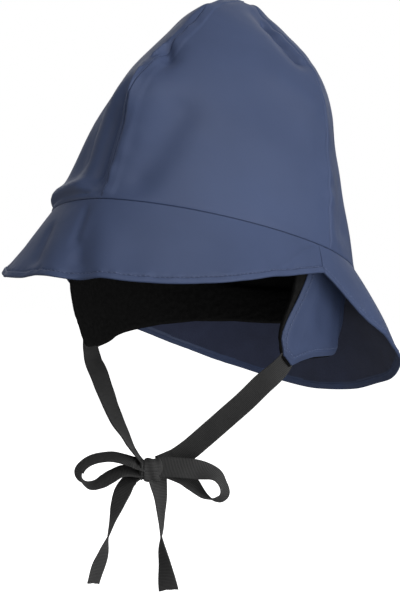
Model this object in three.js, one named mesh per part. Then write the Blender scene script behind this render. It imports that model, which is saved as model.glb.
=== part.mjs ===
// A child's rain hat of coated cloth: a tall crown of four panels, a brim that runs out into a long
// neck flap, a fleece band with two ear flaps, and flat tapes tied in a bow under the chin.
// Millimetres and degrees. The wearer looks along -Y and the wearer's left is +X.
// The origin is the middle of the crown seam, which is the opening that the head goes into.

import * as THREE from 'three';

// Driving dimensions. The hat is drawn square to its crown seam, and is worn tipped back.
const TIP_BACK = 13.2;
const CLOTH = 1.2;
const HEMMED_CLOTH = 1.5;
const FLEECE = 2.2;
const SEAM_GAP = 0.35;
const NOTCH = 84;
const BRIM_FLARE = 0.02;
const FLAP_FLARE = -0.26;
const TAPE_WIDTH = 11.5;
const TAPE_THICKNESS = 0.9;

// The bow hangs under the chin and faces a little to the wearer's left of straight ahead.
const BOW_MIDDLE = { x: 0, y: -41.1, z: -121.9 };
const BOW_FACING = 35.5;
const KNOT = { across: 13.2, out: 9, up: 12.4, rounding: 3, bevel: 1.2 };

// Level rings of the crown: rise above the seam, distance of the front, side and back seams from the
// middle, and how full the panels are between the seams, where 1 is a plain oval.
const crownRings = table('rise front side back fullFront fullBack',
  [0, 96, 83, 94, 0.965, 0.978],
  [22, 90, 78.5, 92, 0.95, 0.935],
  [44, 87.5, 73.5, 89, 0.93, 0.895],
  [64, 85, 68.5, 84, 0.89, 0.872],
  [82, 75, 63, 76, 0.868, 0.87],
  [98, 63, 55.5, 65, 0.852, 0.88],
  [112, 51, 41.8, 49.5, 0.85, 0.94],
  [124, 39, 26.6, 34.5, 0.87, 0.975],
  [133, 26, 15, 20.6, 0.9, 0.985],
  [138.5, 12, 7, 9.4, 0.95, 0.99],
  [140.5, 0, 0, 0, 1, 1]);

// Soft folds of the crown, each along a line from one place to another. Angles go round from the
// front by the wearer's left, rises are above the seam, and a depth below zero is a dent.
const crownFolds = table('angleA riseA angleB riseB width depth',
  [-9, 64, -7, 10, 7, -3.2],
  [-4, 80, -2, 56, 5, 1.6],
  [7, 88, 9, 82, 7, -2.6],
  [22, 54, 12, 16, 12, -3],
  [66, 86, 84, 78, 9, 1.6],
  [78, 128, 82, 106, 7, -3],
  [-4, 124, -56, 110, 7, 1],
  [-62, 7, -10, 4, 8, 3.2],
  [-34, 62, -26, 24, 12, -2.6],
  [-66, 96, -82, 60, 9, -2.4],
  [112, 62, 104, 20, 12, -2.4],
  [150, 70, 164, 28, 14, -3.4],
  [-172, 84, -168, 40, 8, -2.6],
  [-140, 50, -122, 18, 13, -3],
  [-118, 104, -134, 88, 9, 1.8]);

// The free edge of the brim: how far out from the seam and how far down from it.
const brimEdge = table('angle out down',
  [-84, 7.5, 16],
  [-70, 12, 25],
  [-53, 20, 34.5],
  [-37, 22, 42.4],
  [-18, 24, 48],
  [0, 26, 49.2],
  [18, 24, 48.2],
  [37, 22, 43.4],
  [53, 20, 34.8],
  [70, 12, 23.6],
  [84, 7.5, 15.5]);

// The free edge of the neck flap, from the left notch round the back to the right notch.
const flapEdge = table('angle out down',
  [84, 7.5, 15.5],
  [94, 11.4, 25],
  [104, 18.5, 32.3],
  [113, 26.6, 36.6],
  [124, 31.8, 41.8],
  [135, 34, 44.2],
  [145, 35.4, 46.6],
  [155, 37.6, 47.4],
  [166, 40, 49.6],
  [180, 40, 49.7],
  [195, 40, 44.8],
  [215, 37.5, 37.5],
  [240, 27, 31.2],
  [256, 17, 26.5],
  [276, 7.5, 16]);

// Waves of the brim and flap, which start at the seam and are deepest at the free edge. A wave runs
// from its angle at the seam to its angle at the edge.
const skirtWaves = table('angleTop angleEdge width out',
  [-18, -2, 5, 2.2],
  [-3, 7, 4.5, -3.4],
  [2, 14, 6, 2],
  [-48, -40, 7, -1.8],
  [44, 46, 12, 1.4],
  [108, 112, 8, -1.6],
  [150, 148, 12, 2.2],
  [172, 176, 8, -2.2],
  [205, 208, 10, 2.2],
  [232, 228, 8, -1.8]);

// The fleece band hangs inside the seam. Its lower edge is short over the forehead, drops to a tip at
// each ear, and rises again to the nape. Angles are from the front, the same on both sides.
const bandDrop = table('angle left right',
  [0, 9, 9],
  [50, 10, 10],
  [74, 12, 12],
  [78.5, 14, 15],
  [80.5, 20, 46],
  [82.5, 30, 56],
  [84.5, 54, 59.5],
  [86.5, 62, 60.2],
  [91, 65.5, 58.9],
  [97, 61.5, 54.3],
  [105, 56.5, 47.8],
  [116, 51.5, 40.9],
  [128, 46, 33.4],
  [142, 34, 27.2],
  [158, 26, 23.5],
  [180, 22, 22]);

// The ties draw each ear flap in and shift its front edge, by depth below the seam: degrees round
// towards the face and millimetres in, for the left flap and for the right one.
const flapPull = table('depth leanLeft inLeft leanRight inRight',
  [0, 0, 0, 0, 0],
  [16, 0, 0.6, 1.5, 1],
  [30, 1.8, 2.1, 2, 3.2],
  [43, 4, 4, -1, 6],
  [51, 4.3, 5.4, -3.5, 8.1],
  [58, 3, 6.6, -3.6, 10],
  [66, 1, 8.2, -4, 12.3]);

// How far inside the crown seam the fleece's outer face lies, by height above the seam.
const bandInset = table('height inset', [-12, 4.6], [-4, 4.4], [0, 2.2], [7, 4.2], [14, 6.4]);
const BAND_STEPS = [14, 7, 0, -4];

// Each ear flap's fleece is sewn to the band's front and back stretches at these angles.
const EAR_LINING = { front: 78.5, back: 158 };

// The coated outer face of each ear flap goes from a little ahead of the tip to behind the ear, and
// lies a small gap away from the fleece.
const EAR_SHELL = { front: 84.5, back: 158, away: 0.5 };

// The ties pull on the band between these angles from the front: it comes in over the first two and
// fades out over the last two.
const EAR_PULL = { start: 60, full: 84, fading: 96, end: 128 };

// Folds of the crown die away over this height above the seam.
const FOLDS_FADE = 4;

// Ties, measured from the middle of the bow as it faces: across to the wearer's left, out in front,
// up, and how far the tape's face is turned about its run from the way the bow faces.
const strapLeft = table('across out up turn',
  [68.4, 21.5, 59.8, 4],
  [57.6, 17.5, 48.6, 0],
  [49.3, 13, 39.6, 0],
  [40.1, 8, 30.6, 0],
  [30.6, 2.6, 21.4, 0],
  [20.9, -2.6, 12.2, 0],
  [14, -5, 6.8, 0],
  [10, -5.4, 4.7, 0]);
const strapRight = table('across out up turn',
  [-37, -58, 61.2, 40],
  [-34.6, -53, 55.2, 34],
  [-31.1, -46, 48.1, 33],
  [-27.4, -37, 39.7, 39],
  [-23.5, -28, 31.3, 48],
  [-19, -19, 23.1, 58],
  [-13.8, -10, 15.4, 74],
  [-11, -6, 11.2, 80],
  [-8.2, -3, 7.6, 84]);
const loopRight = table('across out up turn',
  [-7.6, 1, 2.9, -64],
  [-10.5, 1.5, 4.2, -65],
  [-16.1, 0, 5.5, -66],
  [-23.2, -4, 5.9, -67],
  [-29.8, -7, 4.5, -66],
  [-35.8, -9, 1.3, -64],
  [-38.9, -10, -2.9, -64],
  [-37.2, -9, -7.1, -82],
  [-31.8, -7, -8.8, -112],
  [-26.3, -4, -7.2, -124],
  [-21.4, -2, -4.2, -124],
  [-16, -1, -1.2, -122],
  [-10.5, -1.5, -0.6, -120],
  [-7.6, -1.5, -0.8, -120]);
const loopLeft = table('across out up turn',
  [7.8, 2, 2, 22],
  [16.6, 4, 1.9, 22],
  [24.4, 5.5, 1.4, 26],
  [30.6, 7, 0.5, 40],
  [35.4, 8.5, -1.5, 58],
  [38.4, 9, -5, 70],
  [39.8, 8.5, -8.9, 68],
  [39.2, 7.5, -12.2, 64],
  [36.8, 6.5, -14.2, 72],
  [33.4, 5, -14.4, 86],
  [29.4, 3.5, -12.8, 102],
  [26, 2, -10, 114],
  [22.6, 1, -6.6, 127],
  [17.6, 0.4, -2.6, 137],
  [11, 0, 0.2, 144],
  [7.8, 0, 1, 148]);
const tailRight = table('across out up turn',
  [-9.3, -2.5, -4.9, -62],
  [-12.2, -1.5, -7.4, -50],
  [-14.8, -0.5, -12.4, -40],
  [-17.1, 0.5, -19, -54],
  [-19.4, 1, -27, -72],
  [-21.6, 1, -36.4, -89],
  [-23.7, 1, -44.9, -112],
  [-26.3, 0.5, -53.1, -126],
  [-29, 0, -62.4, -123]);
const tailLeft = table('across out up turn',
  [4.2, 0, -7.2, 36],
  [5.2, 0.5, -13, 50],
  [5.8, 1, -20.2, 65],
  [6.2, 1, -27.7, 79],
  [6.7, 1, -35, 91],
  [7.7, 1, -43.2, 111],
  [9.3, 0.5, -51.8, 132],
  [11.7, 0, -64.6, 160]);

// How finely each piece is faceted: columns round the head or along a tape, then rows.
const PANEL_GRID = { columns: 14, rows: 18 };
const BRIM_GRID = { columns: 34, rows: 5 };
const FLAP_GRID = { columns: 38, rows: 6 };
const BAND_GRID = { degrees: 6, closest: 2, rows: 6 };
const STEPS = { strap: 14, loop: 30, tail: 16 };

// Slopes are taken across this much of a step of a table.
const SLOPE_STEP = 0.02;

const CROWN = { color: '#4a5878', roughness: 0.42 };
const SKIRT = { color: '#525f80', roughness: 0.42 };
const PILE = { color: '#101012', roughness: 0.95 };
const TAPE = { color: '#3f4042', roughness: 0.8 };

const radians = THREE.MathUtils.degToRad;

function table(names, ...rows) {
  const columns = names.split(' ');
  return rows.map((row) => Object.fromEntries(columns.map((name, i) => [name, row[i]])));
}

// A smooth curve through one column of a table, read at a value of its key column.
function follow(rows, key, value, column) {
  const at = THREE.MathUtils.clamp(value, rows[0][key], rows[rows.length - 1][key]);
  let i = 0;
  while (i < rows.length - 2 && rows[i + 1][key] < at) i += 1;
  const span = rows[i + 1][key] - rows[i][key];
  const f = (at - rows[i][key]) / span;
  const slope = (k) => {
    const before = rows[Math.max(k - 1, 0)];
    const after = rows[Math.min(k + 1, rows.length - 1)];
    return (after[column] - before[column]) / (after[key] - before[key]);
  };
  const a = rows[i][column];
  const b = rows[i + 1][column];
  const fromA = slope(i) * span;
  const fromB = slope(i + 1) * span;
  return a + f * (fromA + f * (3 * (b - a) - 2 * fromA - fromB + f * (2 * (a - b) + fromA + fromB)));
}

// A straight-line reading of the same kind, for edges that have real corners.
function read(rows, key, value, column) {
  let i = 0;
  while (i < rows.length - 2 && rows[i + 1][key] < value) i += 1;
  const f = (value - rows[i][key]) / (rows[i + 1][key] - rows[i][key]);
  return THREE.MathUtils.lerp(rows[i][column], rows[i + 1][column], THREE.MathUtils.clamp(f, 0, 1));
}

// The crown's rings are numbered, and t runs through them from 0 at the seam to the top of the crown.
const numberedRings = crownRings.map((ring, t) => ({ ...ring, t }));
const TOP_RING = crownRings.length - 1;

// Half a seam's gap, as an angle round the crown seam.
const HALF_GAP_ANGLE = THREE.MathUtils.radToDeg(SEAM_GAP / 2 / crownRings[0].side);

function ringAt(t) {
  const ring = {};
  for (const column of Object.keys(crownRings[0])) ring[column] = follow(numberedRings, 't', t, column);
  return ring;
}

// Straight out from the middle at an angle round from the front.
function outward(angle) {
  return new THREE.Vector3(Math.sin(radians(angle)), -Math.cos(radians(angle)), 0);
}

// A point of the crown before its folds: an oval ring, drawn in between the four seams.
function ringPoint(angle, ring) {
  const c = Math.cos(radians(angle));
  const s = Math.sin(radians(angle));
  const ahead = c >= 0;
  const fullness = 1 - (1 - (ahead ? ring.fullFront : ring.fullBack)) * Math.abs(Math.sin(radians(2 * angle)));
  return new THREE.Vector3(ring.side * s, -(ahead ? ring.front : ring.back) * c, 0)
    .multiplyScalar(fullness).setZ(ring.rise);
}

// The length round a ring from one angle to another, the short way, and positive by the left.
function lengthRound(from, to, radius) {
  return radians(((to - from + 540) % 360) - 180) * radius;
}

// How far the folds move a place of the crown, each a rounded groove or ridge along its line. The
// crown is laid flat around the place, and a fold's line runs on from its own start.
function foldDepth(angle, rise, radius) {
  let depth = 0;
  for (const fold of crownFolds) {
    const start = lengthRound(angle, fold.angleA, radius);
    const end = start + lengthRound(fold.angleA, fold.angleB, radius);
    const line = new THREE.Line3(
      new THREE.Vector3(start, fold.riseA - rise, 0),
      new THREE.Vector3(end, fold.riseB - rise, 0));
    const nearest = line.closestPointToPoint(new THREE.Vector3(), true, new THREE.Vector3());
    depth += fold.depth * Math.exp(-nearest.lengthSq() / (fold.width * fold.width));
  }
  return depth;
}

// A place of the crown and the direction that faces out of the cloth there.
function crownSurface(angle, t) {
  const ring = ringAt(t);
  const below = ringPoint(angle, ringAt(Math.max(t - SLOPE_STEP, 0)));
  const above = ringPoint(angle, ringAt(Math.min(t + SLOPE_STEP, TOP_RING)));
  const out = outward(angle);
  const climb = above.z - below.z;
  const inwards = below.dot(out) - above.dot(out);
  const facing = out.clone().multiplyScalar(climb).setZ(inwards).normalize();
  const radius = 0.5 * (ring.front + ring.side);
  const fade = THREE.MathUtils.smoothstep(ring.rise, 0, FOLDS_FADE);
  const point = ringPoint(angle, ring).addScaledVector(facing, fade * foldDepth(angle, ring.rise, radius));
  return { point, facing };
}

// A place of the brim or neck flap, from the seam at v = 0 to the free edge at v = 1. It leaves the
// crown steeply and then flares, by a share of its reach.
function skirtSurface(edge, flare, angle, v) {
  const reach = follow(edge, 'angle', angle, 'out');
  const drop = follow(edge, 'angle', angle, 'down');
  let wave = 0;
  for (const row of skirtWaves) {
    const away = (angle - THREE.MathUtils.lerp(row.angleTop, row.angleEdge, v)) / row.width;
    wave += row.out * Math.exp(-away * away);
  }
  const out = outward(angle);
  const flared = v - flare * v * (1 - v);
  const point = ringPoint(angle, crownRings[0]).addScaledVector(out, reach * flared + wave * v);
  point.z = -SEAM_GAP - (drop - SEAM_GAP) * v;
  return { point, facing: out.clone().multiplyScalar(drop).setZ(reach).normalize() };
}

// A place of the fleece band's outer face. The angle is positive on the wearer's left.
function bandSurface(angle, height, moreInset = 0) {
  const around = Math.abs(angle);
  const side = angle >= 0 ? 'Left' : 'Right';
  const nearEar = THREE.MathUtils.smoothstep(around, EAR_PULL.start, EAR_PULL.full)
    * (1 - THREE.MathUtils.smoothstep(around, EAR_PULL.fading, EAR_PULL.end));
  const depth = Math.max(-height, 0);
  const lean = follow(flapPull, 'depth', depth, `lean${side}`) * nearEar;
  const pull = follow(flapPull, 'depth', depth, `in${side}`) * nearEar;
  const turned = Math.sign(angle) * (around - lean);
  const ring = height > 0 ? ringAt(height / crownRings[1].rise) : crownRings[0];
  const inset = follow(bandInset, 'height', height, 'inset') + pull + moreInset;
  const out = outward(turned);
  const point = ringPoint(turned, ring).addScaledVector(out, -inset).setZ(height);
  return { point, facing: out };
}

function bandEdge(angle) {
  return read(bandDrop, 'angle', Math.abs(angle), angle >= 0 ? 'left' : 'right');
}

// Closed solids are gathered as triangles, and triangles that close up to nothing are dropped.
class Solid {
  corners = [];

  triangle(a, b, c) {
    if (a.equals(b) || b.equals(c) || c.equals(a)) return;
    for (const corner of [a, b, c]) this.corners.push(corner.x, corner.y, corner.z);
  }

  quad(a, b, c, d) {
    this.triangle(a, b, c);
    this.triangle(a, c, d);
  }

  geometry() {
    const geometry = new THREE.BufferGeometry();
    geometry.setAttribute('position', new THREE.Float32BufferAttribute(this.corners, 3));
    geometry.computeVertexNormals();
    return geometry;
  }
}

// A wall of cloth: the outer face is surface(column, row) and the inner face lies a thickness behind
// it. Columns go round by the left and rows go up.
function wall(columns, rows, thickness, surface) {
  const outer = [];
  const inner = [];
  for (let i = 0; i <= columns; i += 1) {
    outer.push([]);
    inner.push([]);
    for (let j = 0; j <= rows; j += 1) {
      const { point, facing } = surface(i, j);
      outer[i].push(point);
      inner[i].push(point.clone().addScaledVector(facing, -thickness));
    }
  }
  const solid = new Solid();
  for (let i = 0; i < columns; i += 1) {
    for (let j = 0; j < rows; j += 1) {
      solid.quad(outer[i][j], outer[i + 1][j], outer[i + 1][j + 1], outer[i][j + 1]);
      solid.quad(inner[i][j], inner[i][j + 1], inner[i + 1][j + 1], inner[i + 1][j]);
    }
    solid.quad(outer[i][0], inner[i][0], inner[i + 1][0], outer[i + 1][0]);
    solid.quad(outer[i][rows], outer[i + 1][rows], inner[i + 1][rows], inner[i][rows]);
  }
  for (let j = 0; j < rows; j += 1) {
    solid.quad(outer[0][j], outer[0][j + 1], inner[0][j + 1], inner[0][j]);
    solid.quad(outer[columns][j], inner[columns][j], inner[columns][j + 1], outer[columns][j + 1]);
  }
  return solid.geometry();
}

// A quarter of the crown. Every column ends in one point at the top, and the whole panel stands half
// a seam's gap away from both of its seams.
function crownPanel(from) {
  const { columns, rows } = PANEL_GRID;
  const apart = outward(from + 45).multiplyScalar(SEAM_GAP * Math.SQRT1_2);
  return wall(columns, rows, CLOTH, (i, j) => {
    if (j === rows) {
      const top = new THREE.Vector3(0, 0, crownRings[TOP_RING].rise).add(apart);
      return { point: top, facing: new THREE.Vector3(0, 0, 1) };
    }
    const { point, facing } = crownSurface(from + (90 * i) / columns, (TOP_RING * j) / rows);
    return { point: point.add(apart), facing };
  });
}

// The brim or the neck flap, between two angles, each end half a seam's gap short of its notch.
function skirt(edge, flare, from, to, grid) {
  return wall(grid.columns, grid.rows, HEMMED_CLOTH, (i, j) => {
    const angle = THREE.MathUtils.lerp(from + HALF_GAP_ANGLE, to - HALF_GAP_ANGLE, i / grid.columns);
    return skirtSurface(edge, flare, angle, 1 - j / grid.rows);
  });
}

// Columns of the band on one side of the head: even steps, and closer ones at the ear flap's front.
function bandAngles() {
  const angles = bandDrop.map((row) => row.angle);
  for (let angle = 0; angle < 180; angle += BAND_GRID.degrees) {
    if (bandDrop.every((row) => Math.abs(row.angle - angle) > BAND_GRID.closest)) angles.push(angle);
  }
  return angles.sort((a, b) => a - b);
}

// The height of a row of the band under its sewn edge, where v runs from 0 there to 1 at the free edge.
function hangingHeight(angle, v) {
  return THREE.MathUtils.lerp(BAND_STEPS[BAND_STEPS.length - 1], -bandEdge(angle), v);
}

// A stretch of the fleece, from one angle round by the wearer's left to another, each end half a
// seam's gap short. Angles past 180 are on the wearer's right.
function fleece(from, to) {
  const half = bandAngles();
  const round = [
    ...half.slice(1).reverse().map((angle) => -angle),
    ...half,
    ...half.slice(0, -1).reverse().map((angle) => 360 - angle)];
  const angles = round.filter((angle) => angle >= from && angle <= to);
  const columns = angles.length - 1;
  angles[0] += HALF_GAP_ANGLE;
  angles[columns] -= HALF_GAP_ANGLE;
  const sewn = BAND_STEPS.length - 1;
  const rows = sewn + BAND_GRID.rows;
  return wall(columns, rows, FLEECE, (i, j) => {
    const angle = angles[i] > 180 ? angles[i] - 360 : angles[i];
    const step = rows - j;
    if (step <= sewn) return bandSurface(angle, BAND_STEPS[step]);
    return bandSurface(angle, hangingHeight(angle, (step - sewn) / BAND_GRID.rows));
  });
}

// An ear flap's coated face follows the fleece behind it, a small gap away.
function earShell(side) {
  const angles = bandAngles().filter((angle) => angle >= EAR_SHELL.front && angle <= EAR_SHELL.back);
  if (side < 0) angles.reverse();
  const rows = BAND_GRID.rows;
  return wall(angles.length - 1, rows, CLOTH, (i, j) => {
    const angle = side * angles[i];
    return bandSurface(angle, hangingHeight(angle, 1 - j / rows), -(EAR_SHELL.away + CLOTH));
  });
}

// A tape swept along its table's route, with its width turned about the run as the table says.
function tape(rows, steps) {
  const stations = rows.map((row, k) => ({ ...row, k }));
  const solid = new Solid();
  const sections = [];
  const place = (k) => new THREE.Vector3(
    follow(stations, 'k', k, 'across'), -follow(stations, 'k', k, 'out'), follow(stations, 'k', k, 'up'));
  for (let step = 0; step <= steps; step += 1) {
    const k = ((rows.length - 1) * step) / steps;
    const run = place(k + SLOPE_STEP).sub(place(k - SLOPE_STEP)).normalize();
    const turn = radians(follow(stations, 'k', k, 'turn'));
    const faceOn = new THREE.Vector3(0, -1, 0).addScaledVector(run, run.y).normalize();
    const face = faceOn.applyAxisAngle(run, -turn);
    const width = new THREE.Vector3().crossVectors(run, face).multiplyScalar(TAPE_WIDTH / 2);
    const depth = face.clone().multiplyScalar(TAPE_THICKNESS / 2);
    const middle = place(k);
    sections.push([[1, 1], [1, -1], [-1, -1], [-1, 1]].map(([w, d]) => (
      middle.clone().addScaledVector(width, w).addScaledVector(depth, d))));
  }
  for (let step = 0; step < steps; step += 1) {
    for (let side = 0; side < 4; side += 1) {
      const next = (side + 1) % 4;
      const near = sections[step];
      const far = sections[step + 1];
      solid.quad(near[side], near[next], far[next], far[side]);
    }
  }
  const start = sections[0];
  const end = sections[steps];
  solid.quad(start[3], start[2], start[1], start[0]);
  solid.quad(end[0], end[1], end[2], end[3]);
  return solid.geometry();
}

// The knot is a cushion of wrapped tape: a rounded oblong seen from the side, drawn out across.
function knot() {
  const { across, out, up, rounding, bevel } = KNOT;
  const w = out / 2 - bevel;
  const h = up / 2 - bevel;
  const outline = new THREE.Shape();
  outline.moveTo(w, -h + rounding);
  outline.lineTo(w, h - rounding);
  outline.absarc(w - rounding, h - rounding, rounding, 0, Math.PI / 2);
  outline.absarc(-w + rounding, h - rounding, rounding, Math.PI / 2, Math.PI);
  outline.absarc(-w + rounding, -h + rounding, rounding, Math.PI, 1.5 * Math.PI);
  outline.absarc(w - rounding, -h + rounding, rounding, 1.5 * Math.PI, 2 * Math.PI);
  const geometry = new THREE.ExtrudeGeometry(outline, {
    depth: across - 2 * bevel,
    curveSegments: 4,
    bevelThickness: bevel,
    bevelSize: bevel,
    bevelSegments: 2,
  });
  return geometry.translate(0, 0, -across / 2 + bevel).rotateZ(Math.PI / 2).rotateY(Math.PI / 2);
}

function piece(name, geometry, look) {
  const mesh = new THREE.Mesh(geometry, new THREE.MeshStandardMaterial({ ...look, metalness: 0 }));
  mesh.name = name;
  return mesh;
}

const hat = new THREE.Group();
hat.rotation.x = radians(-TIP_BACK);
hat.add(
  piece('crown_panel_front_left', crownPanel(0), CROWN),
  piece('crown_panel_back_left', crownPanel(90), CROWN),
  piece('crown_panel_back_right', crownPanel(180), CROWN),
  piece('crown_panel_front_right', crownPanel(270), CROWN),
  piece('brim', skirt(brimEdge, BRIM_FLARE, -NOTCH, NOTCH, BRIM_GRID), SKIRT),
  piece('neck_flap', skirt(flapEdge, FLAP_FLARE, NOTCH, 360 - NOTCH, FLAP_GRID), SKIRT),
  piece('fleece_band_front', fleece(-EAR_LINING.front, EAR_LINING.front), PILE),
  piece('fleece_band_back', fleece(EAR_LINING.back, 360 - EAR_LINING.back), PILE),
  piece('ear_lining_left', fleece(EAR_LINING.front, EAR_LINING.back), PILE),
  piece('ear_lining_right', fleece(360 - EAR_LINING.back, 360 - EAR_LINING.front), PILE),
  piece('ear_flap_left', earShell(1), SKIRT),
  piece('ear_flap_right', earShell(-1), SKIRT));

const ties = new THREE.Group();
ties.position.set(BOW_MIDDLE.x, BOW_MIDDLE.y, BOW_MIDDLE.z);
ties.rotation.z = radians(BOW_FACING);
ties.add(
  piece('tie_strap_left', tape(strapLeft, STEPS.strap), TAPE),
  piece('tie_strap_right', tape(strapRight, STEPS.strap), TAPE),
  piece('bow_knot', knot(), TAPE),
  piece('bow_loop_left', tape(loopLeft, STEPS.loop), TAPE),
  piece('bow_loop_right', tape(loopRight, STEPS.loop), TAPE),
  piece('bow_tail_left', tape(tailLeft, STEPS.tail), TAPE),
  piece('bow_tail_right', tape(tailRight, STEPS.tail), TAPE));

const rainHat = new THREE.Group();
rainHat.add(hat, ties);

export default rainHat;
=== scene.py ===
"""A child's rain hat of coated cloth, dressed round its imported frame.

The frame gives the real sizes and places. This file gives each piece its sewn surface, edges, stitches
and finish. Tables and thicknesses of the hat are in millimetres and degrees, and Blender's are metres.
"""

import math

import bmesh
import bpy
import numpy as np
from mathutils import Matrix, Vector


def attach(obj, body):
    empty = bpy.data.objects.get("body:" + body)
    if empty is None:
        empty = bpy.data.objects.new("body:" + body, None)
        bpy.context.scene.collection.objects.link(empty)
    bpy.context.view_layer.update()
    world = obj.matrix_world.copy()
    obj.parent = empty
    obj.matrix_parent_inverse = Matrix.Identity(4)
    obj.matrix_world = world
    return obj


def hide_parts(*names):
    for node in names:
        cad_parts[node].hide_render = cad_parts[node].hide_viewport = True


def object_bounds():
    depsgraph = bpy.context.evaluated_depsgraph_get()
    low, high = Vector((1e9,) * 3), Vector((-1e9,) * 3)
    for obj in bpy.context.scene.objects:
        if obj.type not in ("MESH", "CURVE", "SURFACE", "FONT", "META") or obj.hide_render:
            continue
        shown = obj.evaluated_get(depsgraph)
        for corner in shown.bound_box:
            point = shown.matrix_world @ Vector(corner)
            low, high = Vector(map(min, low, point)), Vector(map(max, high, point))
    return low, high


bl_info = {
    "name": "Rain hat",
    "version": (1, 0, 0),
    "blender": (4, 5, 0),
    "location": "3D View > Sidebar > Rain Hat",
    "description": "Builds a child's rain hat with a neck flap, ear flaps and a tied bow",
    "category": "Add Mesh",
}

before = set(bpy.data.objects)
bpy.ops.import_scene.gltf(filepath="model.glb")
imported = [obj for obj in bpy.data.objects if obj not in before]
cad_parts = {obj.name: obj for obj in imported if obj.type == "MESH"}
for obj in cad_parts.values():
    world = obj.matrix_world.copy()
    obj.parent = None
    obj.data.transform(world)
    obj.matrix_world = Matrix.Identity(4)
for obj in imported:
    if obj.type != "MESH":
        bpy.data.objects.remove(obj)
CAD_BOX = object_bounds()

MM = 0.001

# The hat is drawn square to its crown seam, and is worn tipped back.
TIP_BACK = 13.2
NOTCH = 84
BRIM_FLARE = 0.02
FLAP_FLARE = -0.26
FOLDS_FADE = 4
SLOPE_STEP = 0.02

# The bow hangs under the chin and faces a little to the wearer's left of straight ahead.
BOW_MIDDLE = np.array([0, -41.1, -121.9])
BOW_FACING = 35.5
KNOT = {"across": 13.2, "out": 9, "up": 12.4}

# The ties pull on the band between these angles from the front.
EAR_PULL = {"start": 60, "full": 84, "fading": 96, "end": 128}
EAR_SHELL = {"front": 84.5, "back": 158, "away": 0.5}
EAR_SHELL_SHORT = 0.9

# The fleece band goes from its sewn edge inside the crown down past the crown seam.
BAND_TOP = 14
BAND_HANGS_FROM = -4


def table(names, *rows):
    """The rows of a short table as one array for each named column."""
    return dict(zip(names.split(), np.array(rows, float).T))


# Level rings of the crown: rise above the seam, distance of the front, side and back seams from the
# middle, and how full the panels are between the seams, where 1 is a plain oval.
CROWN_RINGS = table(
    "rise front side back full_front full_back",
    [0, 96, 83, 94, 0.965, 0.978],
    [22, 90, 78.5, 92, 0.95, 0.935],
    [44, 87.5, 73.5, 89, 0.93, 0.895],
    [64, 85, 68.5, 84, 0.89, 0.872],
    [82, 75, 63, 76, 0.868, 0.87],
    [98, 63, 55.5, 65, 0.852, 0.88],
    [112, 51, 41.8, 49.5, 0.85, 0.94],
    [124, 39, 26.6, 34.5, 0.87, 0.975],
    [133, 26, 15, 20.6, 0.9, 0.985],
    [138.5, 12, 7, 9.4, 0.95, 0.99],
    [140.5, 0, 0, 0, 1, 1],
)
TOP_RING = len(CROWN_RINGS["rise"]) - 1
CROWN_RINGS["t"] = np.arange(TOP_RING + 1.0)

# Soft folds of the crown, each along a line from one place to another. Angles go round from the
# front by the wearer's left, rises are above the seam, and a depth below zero is a dent.
CROWN_FOLDS = [
    # angle, rise, angle, rise, width, depth
    [-9, 64, -7, 10, 7, -3.2],
    [-4, 80, -2, 56, 5, 1.6],
    [4, 91, 7, 85, 6.5, -2.6],
    [22, 54, 12, 16, 12, -3],
    [66, 86, 84, 78, 9, 1.6],
    [78, 128, 82, 106, 7, -3],
    [-4, 124, -56, 110, 7, 1],
    [-62, 7, -10, 4, 8, 3.2],
    [-34, 62, -26, 24, 12, -2.6],
    [-66, 96, -82, 60, 9, -2.4],
    [112, 62, 104, 20, 12, -2.4],
    [150, 70, 164, 28, 14, -3.4],
    [-172, 84, -168, 40, 8, -2.6],
    [-140, 50, -122, 18, 13, -3],
    [-118, 104, -134, 88, 9, 1.8],
]

# Sharper creases that only the cloth's surface shows, in the same columns.
CROWN_CREASES = [
    [-9.4, 60, -8.4, 16, 4.3, -2.3],
    [-4.6, 50, -3.6, 12, 1.5, -0.8],
    [-2.8, 76, -1.2, 60, 1.3, 1.3],
    [-1.6, 95, -3.2, 88, 1.4, 1.5],
    [1.2, 94, 5.6, 87, 2.6, -2.4],
    [80.5, 127, 84, 106, 1.6, -2.2],
    [84, 127, 88, 108, 2.0, 1.2],
    [-58, 3.4, -9, 3.0, 2.2, -2.4],
    [-52, 10.5, -16, 9.5, 4, 1.2],
    [-30, 52, -22, 26, 3.2, -0.9],
]

# How the front seam wanders as it climbs: degrees round to the wearer's left, by rise.
SEAM_WANDER = table(
    "rise turn",
    [0, -0.4],
    [30, -1.4],
    [58, -0.9],
    [76, 0],
    [92, 1.4],
    [108, 4],
    [122, 4.5],
    [134, 0],
)
WANDER_WIDTH = 16

# Creases of the brim: angle and share of the drop at each end, width in degrees, depth.
BRIM_CREASES = [
    [-4.8, 0.1, -0.6, 0.6, 1.5, -1.5],
    [0.2, 0.5, 4.6, 0.84, 2.0, -0.9],
    [-20, 0.3, -13, 0.84, 2.6, -1.3],
    [66, 0.85, 80, 0.2, 2.2, 0.7],
]

# Small rises and dips of the brim's free edge: angle, width in degrees, up.
EDGE_WAVES = [
    [-9, 5, 1.1],
    [2, 4, -0.5],
    [14, 4, 1.0],
    [47, 5, -0.5],
    [62, 4, 0.5],
]

# The free edge of the brim: how far out from the seam and how far down from it.
BRIM_EDGE = table(
    "angle out down",
    [-84, 7.5, 16],
    [-70, 12, 25],
    [-53, 20, 34.5],
    [-37, 22, 42.4],
    [-18, 24, 48],
    [0, 26, 49.2],
    [18, 24, 48.2],
    [37, 22, 43.4],
    [53, 20, 34.8],
    [70, 12, 23.6],
    [84, 7.5, 15.5],
)

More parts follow.
